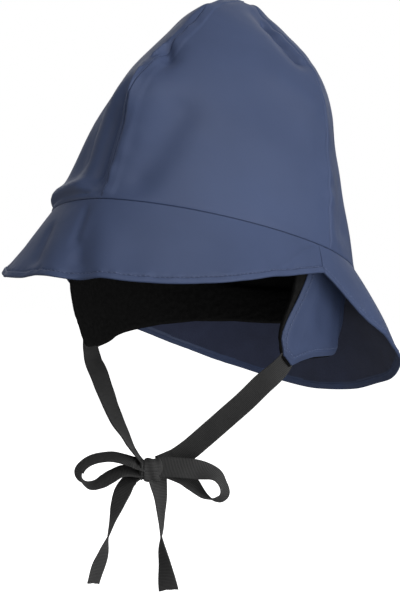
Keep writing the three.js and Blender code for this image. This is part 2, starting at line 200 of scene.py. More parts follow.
# The free edge of the neck flap, from the left notch round the back to the right notch.
FLAP_EDGE = table(
    "angle out down",
    [84, 7.5, 15.5],
    [94, 11.4, 25],
    [104, 18.5, 32.3],
    [113, 26.6, 36.6],
    [124, 31.8, 41.8],
    [135, 34, 44.2],
    [145, 35.4, 46.6],
    [155, 37.6, 47.4],
    [166, 40, 49.6],
    [180, 40, 49.7],
    [195, 40, 44.8],
    [215, 37.5, 37.5],
    [240, 27, 31.2],
    [256, 17, 26.5],
    [276, 7.5, 16],
)

# Waves of the brim and flap, each from its angle at the seam to its angle at the free edge.
SKIRT_WAVES = [
    # angle at the top, angle at the edge, width, out
    [-18, -2, 5, 2.2],
    [-3, 7, 4.5, -3.4],
    [2, 14, 6, 2],
    [-48, -40, 7, -1.8],
    [44, 46, 12, 1.4],
    [108, 112, 8, -1.6],
    [150, 148, 12, 2.2],
    [172, 176, 8, -2.2],
    [205, 208, 10, 2.2],
    [232, 228, 8, -1.8],
]

# The lower edge of the fleece band on each side of the head, by angle from the front.
BAND_DROP = table(
    "angle left right",
    [0, 9, 9],
    [50, 10, 10],
    [74, 12, 12],
    [78.5, 14, 15],
    [80.5, 20, 46],
    [82.5, 30, 56],
    [84.5, 54, 59.5],
    [86.5, 62, 60.2],
    [91, 65.5, 58.9],
    [97, 61.5, 54.3],
    [105, 56.5, 47.8],
    [116, 51.5, 40.9],
    [128, 46, 33.4],
    [142, 34, 27.2],
    [158, 26, 23.5],
    [180, 22, 22],
)

# What the ties do to each ear flap, by depth below the seam: degrees towards the face, and in.
FLAP_PULL = table(
    "depth lean_left in_left lean_right in_right",
    [0, 0, 0, 0, 0],
    [16, 0, 0.6, 1.5, 1],
    [30, 1.8, 2.1, 2, 3.2],
    [43, 4, 4, -1, 6],
    [51, 4.3, 5.4, -3.5, 8.1],
    [58, 3, 6.6, -3.6, 10],
    [66, 1, 8.2, -4, 12.3],
)

# How far inside the crown seam the fleece's outer face lies, by height above the seam.
BAND_INSET = table("height inset", [-12, 4.6], [-4, 4.4], [0, 2.2], [7, 4.2], [14, 6.4])

# Ties, from the middle of the bow as it faces: across to the wearer's left, out in front, up, and
# how far the tape's face is turned about its run.
STRAP_LEFT = table(
    "across out up turn",
    [71.9, 20.9, 72, 50],
    [70.4, 21.2, 64, 46],
    [66, 20.6, 57, 26],
    [57.6, 17.5, 48.6, 4],
    [49.3, 13, 39.6, 0],
    [40.1, 8, 30.6, 0],
    [30.6, 2.6, 21.4, 0],
    [20.9, -2.6, 12.2, 0],
    [14, -5, 6.8, 0],
    [10, -5.4, 4.7, 0],
    [4, -3.5, 2, 0],
)
STRAP_RIGHT = table(
    "across out up turn",
    [-38.8, -65.6, 72.6, 53],
    [-37.6, -63.4, 65.2, 52],
    [-36.2, -58.4, 59.8, 42],
    [-34.6, -53, 55.2, 34],
    [-31.1, -46, 48.1, 33],
    [-27.4, -37, 39.7, 39],
    [-23.5, -28, 31.3, 48],
    [-19, -19, 23.1, 58],
    [-13.8, -10, 15.4, 74],
    [-11, -6, 11.2, 80],
    [-8.2, -3, 7.6, 84],
    [-4, -1.5, 3, 84],
)
LOOP_RIGHT = table(
    "across out up turn",
    [-3, 0.5, 1.5, -64],
    [-7.6, 1, 2.9, -64],
    [-10.5, 1.5, 4.2, -65],
    [-16.1, 0, 5.5, -66],
    [-23.2, -4, 5.9, -67],
    [-29.8, -7, 4.5, -66],
    [-35.8, -9, 1.3, -64],
    [-38.9, -10, -2.9, -64],
    [-37.2, -9, -7.1, -82],
    [-31.8, -7, -8.8, -112],
    [-26.3, -4, -7.2, -124],
    [-21.4, -2, -4.2, -124],
    [-16, -1, -1.2, -122],
    [-10.5, -1.5, -0.6, -120],
    [-7.6, -1.5, -0.8, -120],
    [-3, -1, -0.8, -120],
)
LOOP_LEFT = table(
    "across out up turn",
    [3, 1, 2, 22],
    [7.8, 2, 2, 22],
    [16.6, 4, 1.9, 22],
    [24.4, 5.5, 1.4, 26],
    [30.6, 7, 0.5, 40],
    [35.4, 8.5, -1.5, 58],
    [38.4, 9, -5, 70],
    [39.8, 8.5, -8.9, 68],
    [39.2, 7.5, -12.2, 64],
    [36.8, 6.5, -14.2, 72],
    [33.4, 5, -14.4, 86],
    [29.4, 3.5, -12.8, 102],
    [26, 2, -10, 114],
    [22.6, 1, -6.6, 127],
    [17.6, 0.4, -2.6, 137],
    [11, 0, 0.2, 144],
    [7.8, 0, 1, 148],
    [3, 0, 1, 148],
)
TAIL_RIGHT = table(
    "across out up turn",
    [-5, -1.5, -2, -66],
    [-9.3, -2.5, -4.9, -62],
    [-12.2, -1.5, -7.4, -50],
    [-14.8, -0.5, -12.4, -40],
    [-17.1, 0.5, -19, -54],
    [-19.4, 1, -27, -72],
    [-21.6, 1, -36.4, -89],
    [-23.7, 1, -44.9, -112],
    [-26.3, 0.5, -53.1, -126],
    [-29, 0, -62.4, -123],
)
TAIL_LEFT = table(
    "across out up turn",
    [3.4, 0, -3, 30],
    [4.2, 0, -7.2, 36],
    [5.2, 0.5, -13, 50],
    [5.8, 1, -20.2, 65],
    [6.2, 1, -27.7, 79],
    [6.7, 1, -35, 91],
    [7.7, 1, -43.2, 111],
    [9.3, 0.5, -51.8, 132],
    [11.7, 0, -64.6, 160],
)

# Sewing: how far in from an edge its stitches run and a hem is turned in, and how wide a seam's welt is.
HEM_STITCH = 4.0
HEM_TURNED = 5.2
EAR_FRONT_STITCH = 3.0
EAR_LOWER_STITCH = 4.2
SEAM_WELT = 8.0
WELT_RISE = 0.42
SEAM_PUCKER = {"deep": 0.5, "fades_over": 6}
SEAM_TUCK = {"deep": 2.2, "wide": 1.1, "full_below": 54, "none_above": 63}
HEM_STEP = 0.35
HEM_GROOVE = {"deep": 0.75, "wide": 0.5}
HEM_PUCKER = {"deep": 0.26, "wide": 3.0}
EAR_PUFF = 0.6
EAR_DRAWN_IN = {"deep": 0.7, "wide": 3.4}
EAR_GROOVE = {"deep": 0.3, "wide": 0.5}

# Each stitch is raised and sunk by shares of half its thickness, and a hem's stitches lie off the cloth.
STITCH = {"raised": 0.9, "sunk": 0.35, "off": 0.05}

# Relief of the tape: its ribs, its hollow across and its waves, and how far from its end a tail frays.
TAPE = {"rib": 0.055, "cup": 0.35, "wave": 0.22, "frayed": 6}

# Distances from an edge, in mm, at which every cloth grid has a row of points.
ROWS_NEAR_EDGE = [0, 0.06, 0.18, 0.36, 0.6, 0.95, 1.4, 2.0, 2.6, 3.0, 3.35, 3.7, 4.0, 4.25, 4.6, 5.1, 5.9]

# Camera and stage, as the photograph shows the hat.
CAMERA = {"azimuth": 35.5, "distance": 1.5, "across": -0.0008, "up": -0.028, "roll": 2.0, "lens": 165.3}
FLOOR_BELOW = 0.02
FLOOR_SIZE = 30.0
ROOM_LIGHT = 0.12

# Soft lights: degrees to the camera's right, degrees up, width and height in metres, watts.
LIGHTS = (
    ("tall_key", 40, -8, (1.1, 2.1), 22.5),
    ("top", 12, 55, (1.5, 1.0), 12.5),
    ("side", 70, 30, (1.0, 1.0), 4.5),
    ("fill", -98, -4, (1.6, 1.8), 6),
    ("back", 178, 30, (1.8, 1.4), 7),
)
LIGHTS_AWAY = 1.7


# Curves and noise

def smoothstep(x, low, high):
    """0 below low, 1 above high, and 3s² - 2s³ of the share s of the way between."""
    s = np.clip((x - low) / (high - low), 0, 1)
    return s * s * (3 - 2 * s)


def follow(rows, key, value, column):
    """A smooth curve through one column of a table, read at values of its key column.

    On each step it is the cubic whose slope at either end is that of the line between the rows
    before and after that end.
    """
    x = rows[key]
    y = rows[column]
    k = np.arange(len(x))
    before = np.maximum(k - 1, 0)
    after = np.minimum(k + 1, len(x) - 1)
    slope = (y[after] - y[before]) / (x[after] - x[before])
    at = np.clip(value, x[0], x[-1])
    i = np.clip(np.searchsorted(x, at, side="left") - 1, 0, len(x) - 2)
    span = x[i + 1] - x[i]
    f = (at - x[i]) / span
    a, b = y[i], y[i + 1]
    from_a, from_b = slope[i] * span, slope[i + 1] * span
    return a + f * (from_a + f * (3 * (b - a) - 2 * from_a - from_b + f * (2 * (a - b) + from_a + from_b)))


def soft_noise(points, size, seed):
    """Smooth noise near -1 to 1: the sum of sine waves of one length, each in its own direction."""
    waves = 14
    rng = np.random.default_rng(seed)
    heading = rng.normal(size=(waves, 3))
    heading *= 2 * np.pi / size / np.linalg.norm(heading, axis=1, keepdims=True)
    phase = rng.uniform(0, 2 * np.pi, waves)
    return np.sin(points @ heading.T + phase).sum(-1) / math.sqrt(waves)


def unit(v):
    """Each vector divided by its own length."""
    return v / np.linalg.norm(v, axis=-1, keepdims=True)


def bell(x, width):
    """The bell curve: e to the power of minus the square of x over the width."""
    return np.exp(-((x / width) ** 2))


def grid(first, second):
    """Two arrays of one shape, the first list running along its rows and the second along its columns."""
    return np.meshgrid(first, second, indexing="ij")


def distance_run(path):
    """The distance run along a line of points, up to each of them."""
    return np.concatenate([[0], np.cumsum(np.linalg.norm(np.diff(path, axis=0), axis=1))])


def rounded(distance, radius):
    """A quarter circle: 0 at an edge, rising to 1 at a radius in from it."""
    s = np.clip(distance / radius, 0, 1)
    return np.sqrt(1 - (1 - s) ** 2)


def spaced(length, step):
    """Shares from 0 to 1 of a length, a step apart, with closer ones near both ends."""
    near = np.array(ROWS_NEAR_EDGE)
    near = near[near < length / 2 - step / 2]
    middle = np.linspace(near[-1], length - near[-1], max(int(length / step), 2))[1:-1]
    return np.concatenate([near, middle, (length - near)[::-1]]) / length


# The hat's surfaces, in its own frame before it is tipped back

def outward(angle):
    """Straight out from the middle: sine and minus cosine of the angle round from the front."""
    a = np.radians(angle)
    return np.stack([np.sin(a), -np.cos(a), 0 * a], -1)


def ring_at(t):
    """The crown's ring at a place between its numbered rings."""
    return {name: follow(CROWN_RINGS, "t", t, name) for name in CROWN_RINGS if name != "t"}


def ring_point(angle, ring):
    """An oval of the ring's front, side and back, drawn in between the seams by |sin| of twice the angle."""
    a = np.radians(angle)
    ahead = np.cos(a) >= 0
    full = np.where(ahead, ring["full_front"], ring["full_back"])
    full = 1 - (1 - full) * np.abs(np.sin(2 * a))
    reach = np.where(ahead, ring["front"], ring["back"])
    return np.stack([ring["side"] * np.sin(a) * full, -reach * np.cos(a) * full, ring["rise"] + 0 * a], -1)


def length_round(start, end, radius):
    """The length round a ring from one angle to another, the short way."""
    return np.radians((end - start + 540) % 360 - 180) * radius


def fold_depth(folds, angle, rise, radius):
    """Each fold's depth times the bell curve of the distance to its line on the unrolled cloth."""
    depth = 0 * angle
    for angle_a, rise_a, angle_b, rise_b, width, deep in folds:
        ax = length_round(angle, angle_a, radius)
        bx = ax + length_round(angle_a, angle_b, radius)
        ay, by = rise_a - rise, rise_b - rise
        run = (bx - ax) ** 2 + (by - ay) ** 2
        s = np.clip(-(ax * (bx - ax) + ay * (by - ay)) / run, 0, 1)
        away = (ax + s * (bx - ax)) ** 2 + (ay + s * (by - ay)) ** 2
        depth = depth + deep * np.exp(-away / width**2)
    return depth


def crown_surface(angle, t):
    """Outer face of the crown: the ring's oval, moved along its facing by the folds and creases.

    The facing is square to the crown's profile. The front seam wanders by its table's degrees times a
    bell curve of the angle. Along each seam the cloth has small puckers, and one side stands proud
    over the seam allowance inside. Low on the front seam the other side is tucked under it.
    """
    ring = ring_at(t)
    around = (angle + 180) % 360 - 180
    wander = follow(SEAM_WANDER, "rise", ring["rise"], "turn")
    angle = angle + wander * bell(around, WANDER_WIDTH)
    below = ring_point(angle, ring_at(np.maximum(t - SLOPE_STEP, 0)))
    above = ring_point(angle, ring_at(np.minimum(t + SLOPE_STEP, TOP_RING)))
    out = outward(angle)
    climb = (above - below)[..., 2:]
    inwards = ((below - above) * out).sum(-1, keepdims=True)
    facing = unit(out * climb + np.array([0, 0, 1]) * inwards)
    radius = 0.5 * (ring["front"] + ring["side"])
    point = ring_point(angle, ring)
    fade = smoothstep(ring["rise"], 0, FOLDS_FADE)
    lift = fold_depth(CROWN_FOLDS, angle, ring["rise"], radius)
    lift = lift + fold_depth(CROWN_CREASES, angle, ring["rise"], radius)
    from_seam = np.radians((around + 45) % 90 - 45) * np.hypot(point[..., 0], point[..., 1])
    beside = np.exp(-np.abs(from_seam) / SEAM_PUCKER["fades_over"])
    lift = lift + SEAM_PUCKER["deep"] * beside * soft_noise(point, size=11, seed=3)
    lift = lift + 0.28 * soft_noise(point, size=34, seed=4)
    welt = smoothstep(from_seam, 0.2, 1.0) * (1 - smoothstep(from_seam, SEAM_WELT - 1.4, SEAM_WELT))
    lift = lift + WELT_RISE * welt
    low = 1 - smoothstep(ring["rise"], SEAM_TUCK["full_below"], SEAM_TUCK["none_above"])
    tucked = (np.abs(around) < 45) * low * (from_seam < 0)
    lift = lift - SEAM_TUCK["deep"] * tucked * bell(from_seam, SEAM_TUCK["wide"])
    return point + facing * (fade * lift)[..., None], facing, np.abs(from_seam)


def brim_crease_depth(angle, v):
    """Each crease's depth times the bell curve of the angle off its line, fading past both its ends."""
    depth = 0 * angle
    for angle_a, v_a, angle_b, v_b, width, deep in BRIM_CREASES:
        share = (v - v_a) / (v_b - v_a)
        off = angle - angle_a - (angle_b - angle_a) * share
        within = smoothstep(share, -0.15, 0.2) * (1 - smoothstep(share, 0.8, 1.15))
        depth = depth + deep * within * bell(off, width)
    return depth


def skirt_surface(edge, flare, angle, v):
    """Outer face of the brim or neck flap, from the seam at v = 0 to the free edge at v = 1.

    It goes straight from the ring to the edge's reach and drop, less a flare of v(1 - v) of the
    reach, plus waves that grow with v. The hem stands out a step and is grooved along its stitches.
    """
    reach = follow(edge, "angle", angle, "out")
    drop = follow(edge, "angle", angle, "down")
    wave = 0 * angle
    for angle_top, angle_edge, width, out in SKIRT_WAVES:
        wave = wave + out * bell(angle - (angle_top + (angle_edge - angle_top) * v), width)
    out = outward(angle)
    flared = v - flare * v * (1 - v)
    seam = ring_point(angle, ring_at(0 * angle))
    point = seam + out * (reach * flared + wave * v)[..., None]
    edge_wave = sum(up * bell(angle - at, width) for at, width, up in EDGE_WAVES)
    point[..., 2] = v * (-drop + edge_wave)
    facing = unit(out * drop[..., None] + np.array([0, 0, 1]) * reach[..., None])
    length = np.hypot(reach, drop)
    from_edge = (1 - v) * length
    groove = HEM_GROOVE["deep"] * bell(from_edge - HEM_STITCH, HEM_GROOVE["wide"])
    pucker = HEM_PUCKER["deep"] * bell(from_edge - HEM_STITCH, HEM_PUCKER["wide"])
    pucker = pucker * soft_noise(point, size=6.5, seed=8)
    hem = 1 - smoothstep(from_edge, HEM_STITCH, HEM_STITCH + 0.7)
    lift = HEM_STEP * hem - groove + pucker + 0.3 * v * soft_noise(point, size=30, seed=9)
    lift = lift + brim_crease_depth(angle, v)
    point = point + facing * (lift * smoothstep(v * length, 0, 5))[..., None]
    return point, facing, from_edge, v * length


def band_surface(angle, height):
    """Outer face of the fleece band: the crown's ring, drawn in by its inset and the pull of the ties."""
    around = np.abs(angle)
    left = angle >= 0
    near_ear = smoothstep(around, EAR_PULL["start"], EAR_PULL["full"])
    near_ear = near_ear * (1 - smoothstep(around, EAR_PULL["fading"], EAR_PULL["end"]))
    depth = np.maximum(-height, 0)
    lean, pull = (near_ear * np.where(left, follow(FLAP_PULL, "depth", depth, way + "_left"),
                                      follow(FLAP_PULL, "depth", depth, way + "_right"))
                  for way in ("lean", "in"))
    turned = np.sign(angle) * (around - lean)
    ring = ring_at(np.maximum(height, 0) / CROWN_RINGS["rise"][1])
    inset = follow(BAND_INSET, "height", height, "inset") + pull
    out = outward(turned)
    point = ring_point(turned, ring) - out * inset[..., None]
    point[..., 2] = height
    return point, out


def band_edge(angle):
    """Depth of the band's lower edge, by straight lines between the table's rows."""
    around = np.abs(angle)
    left = np.interp(around, BAND_DROP["angle"], BAND_DROP["left"])
    right = np.interp(around, BAND_DROP["angle"], BAND_DROP["right"])
    return np.where(angle >= 0, left, right)


def worn(points):
    """From the hat's own frame to the wearer's: tipped back about the X axis."""
    a = math.radians(TIP_BACK)
    turn = np.array([[1, 0, 0], [0, math.cos(a), math.sin(a)], [0, -math.sin(a), math.cos(a)]])
    return points @ turn.T


def hung(points, offset=1.0):
    """From the bow's own frame to the wearer's: turned about Z, and moved to the bow's middle."""
    a = math.radians(BOW_FACING)
    turn = np.array([[math.cos(a), -math.sin(a), 0], [math.sin(a), math.cos(a), 0], [0, 0, 1]])
    return points @ turn.T + offset * BOW_MIDDLE


# Meshes

def grid_faces(columns, rows, ring, flip, first):
    """Quads between neighbouring places of a grid of points, facing the other way if flipped."""
    i, j = grid(np.arange(columns if ring else columns - 1), np.arange(rows - 1))
    after = (i + 1) % columns
    corners = [i * rows + j, after * rows + j, after * rows + j + 1, i * rows + j + 1]
    faces = np.stack([c.ravel() for c in corners], -1) + first
    return faces[:, ::-1] if flip else faces


def add_piece(name, points, faces, materials, inner=None, uv=None):
    """A mesh object at the origin, from points in millimetres in the wearer's frame."""
    mesh = bpy.data.meshes.new(name)
    mesh.from_pydata((points * MM).tolist(), [], faces)
    for material in materials:
        mesh.materials.append(material)
    if inner is not None:
        mesh.polygons.foreach_set("material_index", inner.astype(np.int32))
    if uv is not None:
        layer = mesh.uv_layers.new(name="cloth")
        corner = np.empty(len(mesh.loops), np.int32)
        mesh.loops.foreach_get("vertex_index", corner)
        layer.data.foreach_set("uv", uv[corner].astype(np.float32).ravel())
    work = bmesh.new()
    work.from_mesh(mesh)
    bmesh.ops.remove_doubles(work, verts=work.verts, dist=1e-7)
    work.to_mesh(mesh)
    work.free()
    mesh.polygons.foreach_set("use_smooth", np.ones(len(mesh.polygons), bool))
    mesh.update()
    piece = bpy.data.objects.new(name, mesh)
    bpy.context.scene.collection.objects.link(piece)
    return piece


def cloth(name, middle, facing, half, materials, ring=False, uv=None, turned_in=None):
    """A closed wall of cloth round its middle surface: out and in by half its thickness.

    Where half is 0, along the edges, the two faces meet. Materials are the outer face's and, where
    it differs, the inner face's. The inner face shows the outer material where a hem is turned in.
    """
    columns, rows = half.shape
    step = facing * half[..., None]
    points = np.concatenate([(middle + step).reshape(-1, 3), (middle - step).reshape(-1, 3)])
    outer = grid_faces(columns, rows, ring, False, 0)
    inside = grid_faces(columns, rows, ring, True, columns * rows)
    inner = np.repeat([0, len(materials) - 1], [len(outer), len(inside)])
    if turned_in is not None:
        inner[len(outer):][turned_in[:-1, :-1].ravel()] = 0
    faces = np.concatenate([outer, inside]).tolist()
    if not ring:
        # A corner's quads are split from the corner inwards, or their halves would lie double there.
        corners = {0: 0, rows - 2: 3, (columns - 2) * (rows - 1): 1, (columns - 1) * (rows - 1) - 1: 2}
        for at, turn in corners.items():
            for face, first in ((at, turn), (len(outer) + at, 3 - turn)):
                a, b, c, d = faces[face][first:] + faces[face][:first]
                faces[face] = [a, b, c]
                faces.append([a, c, d])
                inner = np.append(inner, inner[face])
    twice = None if uv is None else np.concatenate([uv.reshape(-1, 2)] * 2)
    return add_piece(name, points, faces, materials, inner, twice)


def stitch_rows(name, rows, sizes, material):
    """Rows of stitches, each a bead of thread that dips into the cloth at both ends.

    A bead is a long oval of six sides, raised in its middle by a share of its thickness.
    """
    along = np.array([-0.96, -0.6, 0, 0.6, 0.96])
    around = np.arange(6) * np.pi / 3
    a, b = grid(along, around)
    width = np.sqrt(1 - a * a)
    middle = STITCH["raised"] * (1 - a * a) - STITCH["sunk"]
    shape = np.stack([a, width * np.cos(b), width * np.sin(b) + middle], -1).reshape(-1, 3)
    shape = np.concatenate([shape, [[-1, 0, -STITCH["sunk"]], [1, 0, -STITCH["sunk"]]]])
    sides = np.arange(6)
    beyond = (sides + 1) % 6
    faces = [[k * 6 + s, k * 6 + n, k * 6 + 6 + n, k * 6 + 6 + s]
             for k in range(4) for s, n in zip(sides, beyond)]
    faces += [[30, n, s] for s, n in zip(sides, beyond)]
    faces += [[31, 24 + s, 24 + n] for s, n in zip(sides, beyond)]
    scale = np.array([sizes.stitch_length / MM / 2, sizes.thread / MM / 2, sizes.thread / MM / 2])
    pitch = (sizes.stitch_length + sizes.stitch_gap) / MM
    points, all_faces, count = [], [], 0
    for path, facing in rows:
        travelled = distance_run(path)
        centres = (np.arange(int(travelled[-1] / pitch)) + 0.5) * pitch
        place, x, z = (np.stack([np.interp(centres, travelled, column) for column in values.T], -1)
                       for values in (path, np.gradient(path, axis=0), facing))
        x = unit(x)
        z = unit(z - x * (z * x).sum(-1, keepdims=True))
        axes = np.stack([x, np.cross(z, x), z], 1)
        beads = np.einsum("vk,nkd->nvd", shape * scale, axes) + place[:, None]
        points.append(beads.reshape(-1, 3))
        for n in range(len(centres)):
            all_faces += [[c + count for c in face] for face in faces]
            count += len(shape)
    return add_piece(name, np.concatenate(points), all_faces, [material])


def dress(piece, slot, *nodes):
    """The piece rides on the frame and stands for its solids; its record slot is not used."""
    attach(piece, "root")
    if nodes:
        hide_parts(*nodes)


# Finishes

class Look:
    """A material in the making: its nodes, and the coordinates that its patterns follow."""

    def __init__(self, name):
        material = bpy.data.materials.new(name)
        material.use_nodes = True
        self.nodes = material.node_tree.nodes
        self.links = material.node_tree.links
        self.shader = self.nodes["Principled BSDF"]
        self.place = self.nodes.new("ShaderNodeTexCoord").outputs["Object"]

    def noise(self, scale, detail):
        """Fractal noise with about as many lumps to a unit of length as its scale."""
        node = self.nodes.new("ShaderNodeTexNoise")
        node.inputs["Scale"].default_value = scale
        node.inputs["Detail"].default_value = detail
        self.links.new(self.place, node.inputs["Vector"])
        return node.outputs["Fac"]

    def paint(self, factor, colour, low, high):
        """Base colour: the colour times low up to a factor of 0.3, times high from 0.7, even between."""
        node = self.nodes.new("ShaderNodeValToRGB")
        for element, position, share in zip(node.color_ramp.elements, (0.3, 0.7), (low, high)):
            element.position = position
            element.color = [part * share for part in colour] + [1]
        self.links.new(factor, node.inputs["Fac"])
        self.links.new(node.outputs["Color"], self.shader.inputs["Base Color"])

    def bump(self, height, distance, strength):
        """Relief along the height, on top of any relief that the shader has so far."""
        node = self.nodes.new("ShaderNodeBump")
        node.inputs["Strength"].default_value = strength
        node.inputs["Distance"].default_value = distance
        self.links.new(height, node.inputs["Height"])
        normal = self.shader.inputs["Normal"]
        if normal.is_linked:
            self.links.new(normal.links[0].from_socket, node.inputs["Normal"])
        self.links.new(node.outputs["Normal"], normal)

    def set(self, values):
        """Plain values for the shader's inputs, by name."""
        for name, value in values.items():
            self.shader.inputs[name].default_value = value


def rain_coating(look, colours):
    """Satin coating: faint clouds of colour, a fine grain, and long soft unevenness."""
    look.paint(look.noise(scale=22, detail=4), colours.coated, 0.93, 1.07)
    look.bump(look.noise(scale=60, detail=3), distance=0.0006, strength=0.35)
    look.bump(look.noise(scale=2600, detail=2), distance=0.00008, strength=0.35)
    rough = look.nodes.new("ShaderNodeMapRange")
    rough.inputs["To Min"].default_value = 0.46
    rough.inputs["To Max"].default_value = 0.58
    look.links.new(look.noise(scale=140, detail=3), rough.inputs["Value"])
    look.links.new(rough.outputs["Result"], look.shader.inputs["Roughness"])
    look.set({"Specular IOR Level": 0.2})


def knitted_backing(look, colours):
    """The cloth's uncoated inside: a fine knit of small cells, matt, at about half the coating's colour,
    which is the knit's own slightly darker tone together with painted shade of the shadowed insides.
    """
    # The backing's colour carries painted shade: it is about half the coating's colour, darker than the knit
    # alone, for the shadowed insides of the crown, brim and neck flap.
    look.paint(look.noise(scale=90, detail=4), colours.shaded_backing, 0.88, 1.1)
    knit = look.nodes.new("ShaderNodeTexVoronoi")
    knit.inputs["Scale"].default_value = 1400
    look.links.new(look.place, knit.inputs["Vector"])
    look.bump(knit.outputs["Distance"], distance=0.0002, strength=0.6)
    look.set({"Roughness": 0.85, "Sheen Weight": 0.15, "Sheen Roughness": 0.5})


def black_pile(look, colours):
    """Black brushed pile: matt, with small tufts."""
    tufts = look.noise(scale=480, detail=5)
    look.paint(tufts, colours.fleece, 0.8, 1.2)
    look.bump(tufts, distance=0.0008, strength=0.7)
    look.set({"Roughness": 0.97, "Specular IOR Level": 0.05})


def woven_tape(look, colours, sizes):
    """Woven tape: ribs across its width and fine yarns, both from the tape's own UV map in millimetres."""
    look.place = look.place.node.outputs["UV"]
    ribs = look.nodes.new("ShaderNodeTexWave")
    ribs.wave_type = "BANDS"
    ribs.bands_direction = "Y"
    ribs.inputs["Scale"].default_value = MM / sizes.rib * 2 * math.pi / 20
    ribs.inputs["Distortion"].default_value = 0.6
    look.links.new(look.place, ribs.inputs["Vector"])
    mix = look.nodes.new("ShaderNodeMix")
    mix.data_type = "FLOAT"
    mix.inputs["Factor"].default_value = 0.5
    look.links.new(ribs.outputs["Fac"], mix.inputs["A"])
    look.links.new(look.noise(scale=3.2, detail=3), mix.inputs["B"])
    weave = mix.outputs["Result"]
    look.paint(weave, colours.tape, 0.5, 1.45)
    look.bump(weave, distance=0.00015, strength=0.6)
    look.set({"Roughness": 0.82, "Specular IOR Level": 0.3, "Sheen Weight": 0.1})


def thread(look, colours):
    """Twisted thread: fine uneven fibres and a slight gloss."""
    fibres = look.noise(scale=1800, detail=2)
    look.paint(fibres, colours.thread, 0.8, 1.15)
    look.bump(fibres, distance=0.0001, strength=0.5)
    look.set({"Roughness": 0.6})


def pale_floor(look, colours):
    """A pale floor with faint clouds, which glows white as a lit studio sweep does."""
    look.paint(look.noise(scale=1.5, detail=2), colours.floor, 0.995, 1.0)
    look.set({"Roughness": 0.9, "Emission Color": (1, 1, 1, 1), "Emission Strength": 1.1})


def finish(make, *values):
    """The material named after the function that makes it, made the first time that a piece asks.

    The names are not those of the record's slots, because the frame's own materials have those.
    """
    if make.__name__ not in bpy.data.materials:
        make(Look(make.__name__), *values)
    return bpy.data.materials[make.__name__]


def coated_cloth(colours):
    """The coated outside and the knitted inside."""
    return [finish(rain_coating, colours), finish(knitted_backing, colours)]


# Properties

def size_property(name, description, default):
    return bpy.props.FloatProperty(
        name=name, description=description, default=default, min=0, precision=5,
        unit="LENGTH", subtype="DISTANCE")


def colour_property(name, description, default):
    return bpy.props.FloatVectorProperty(
        name=name, description=description, default=default, min=0, max=1, size=3, subtype="COLOR")


class RainHatSizes(bpy.types.PropertyGroup):
    """Sizes of the cloth, thread and tape."""
    cloth: size_property("Cloth", "Thickness of the crown's cloth", 0.0011)
    hem: size_property("Hem", "Thickness of the folded hems", 0.0015)
    fleece: size_property("Fleece", "Thickness of the fleece", 0.0022)
    tape_width: size_property("Tape width", "Width of the tie tape", 0.0115)
    tape_thickness: size_property("Tape thickness", "Thickness of the tie tape", 0.0009)
    rib: size_property("Rib", "Distance between the ribs of the tape", 0.0008)
    stitch_length: size_property("Stitch length", "Length of one stitch", 0.0018)
    stitch_gap: size_property("Stitch gap", "Cloth between two stitches", 0.0007)
    thread: size_property("Thread", "Thickness of the thread", 0.00065)


class RainHatColours(bpy.types.PropertyGroup):
    """Colours of each material, as linear light."""
    coated: colour_property("Coated cloth", "Colour of the coating", (0.0605, 0.0845, 0.167))
    # About half the coating's colour: the knit's slightly darker tone together with painted shade of the
    # shadowed insides.
    shaded_backing: colour_property("Backing", "Colour of the cloth's inside", (0.028, 0.037, 0.084))
    fleece: colour_property("Fleece", "Colour of the fleece", (0.014, 0.014, 0.014))
    tape: colour_property("Tape", "Colour of the tie tape", (0.047, 0.047, 0.047))
    thread: colour_property("Thread", "Colour of the stitches", (0.085, 0.115, 0.215))
    floor: colour_property("Floor", "Colour of the floor", (0.9, 0.9, 0.9))


# Operators

class PieceOperator:
    """What the operators of the hat's pieces share."""
    bl_options = {"REGISTER", "UNDO"}

    def values(self, context):
        return context.scene.rain_hat_sizes, context.scene.rain_hat_colours


class RAINHAT_OT_crown(PieceOperator, bpy.types.Operator):
    """Sews the four crown panels"""
    bl_idname = "rain_hat.crown"
    bl_label = "Crown Panels"

    def execute(self, context):
        sizes, colours = self.values(context)
        half = sizes.cloth / MM / 2
        quarters = {"front_left": 0, "back_left": 90, "back_right": 180, "front_right": 270}
        for place, start in quarters.items():
            angle, t = grid(start + 90 * spaced(140, 1.7), TOP_RING * spaced(190, 1.8))
            point, facing, from_seam = crown_surface(angle, t)
            thin = rounded(from_seam, 0.7) * rounded(point[..., 2], 0.9)
            thin[:, -1] = 0
            middle = worn(point - facing * half)
            piece = cloth("crown_" + place, middle, worn(facing), half * thin, coated_cloth(colours))
            dress(piece, "coated_cloth", "crown_panel_" + place)
        return {"FINISHED"}


def skirt_piece(name, node, edge, flare, start, end, sizes, colours):
    """The brim or neck flap as a wall with a thicker hem and round edges. Its area is worked out, but not
    used.
    """
    radius = CROWN_RINGS["side"][0]
    width = math.radians(end - start) * radius
    angle, v = grid(start + (end - start) * spaced(width, 1.6), spaced(56, 1.1)[::-1])
    point, facing, from_edge, from_seam = skirt_surface(edge, flare, angle, v)
    from_end = np.radians(np.minimum(angle - start, end - angle)) * radius
    cloth_half = sizes.cloth / MM / 2
    hem_half = sizes.hem / MM / 2
    hemmed = 1 - smoothstep(from_edge, HEM_STITCH - 0.6, HEM_STITCH + 0.3)
    half = cloth_half + (hem_half - cloth_half) * hemmed
    half = half * rounded(from_edge, 0.75) * rounded(from_seam, 0.9) * rounded(from_end, 0.12)
    piece = cloth(name, worn(point - facing * hem_half), worn(facing), half, coated_cloth(colours),
                  turned_in=from_edge < HEM_TURNED)
    dress(piece, "hemmed_cloth", node)
    steps = np.linalg.norm(np.diff(point, axis=0), axis=-1)
    deep = np.linalg.norm(np.diff(point, axis=1), axis=-1)
    area = (0.5 * (steps[:, 1:] + steps[:, :-1]) * 0.5 * (deep[1:] + deep[:-1])).sum() * MM**2
    long = steps.sum(0).max() * MM
    wide = deep.sum(1).max() * MM
    area = min(area, wide * long)


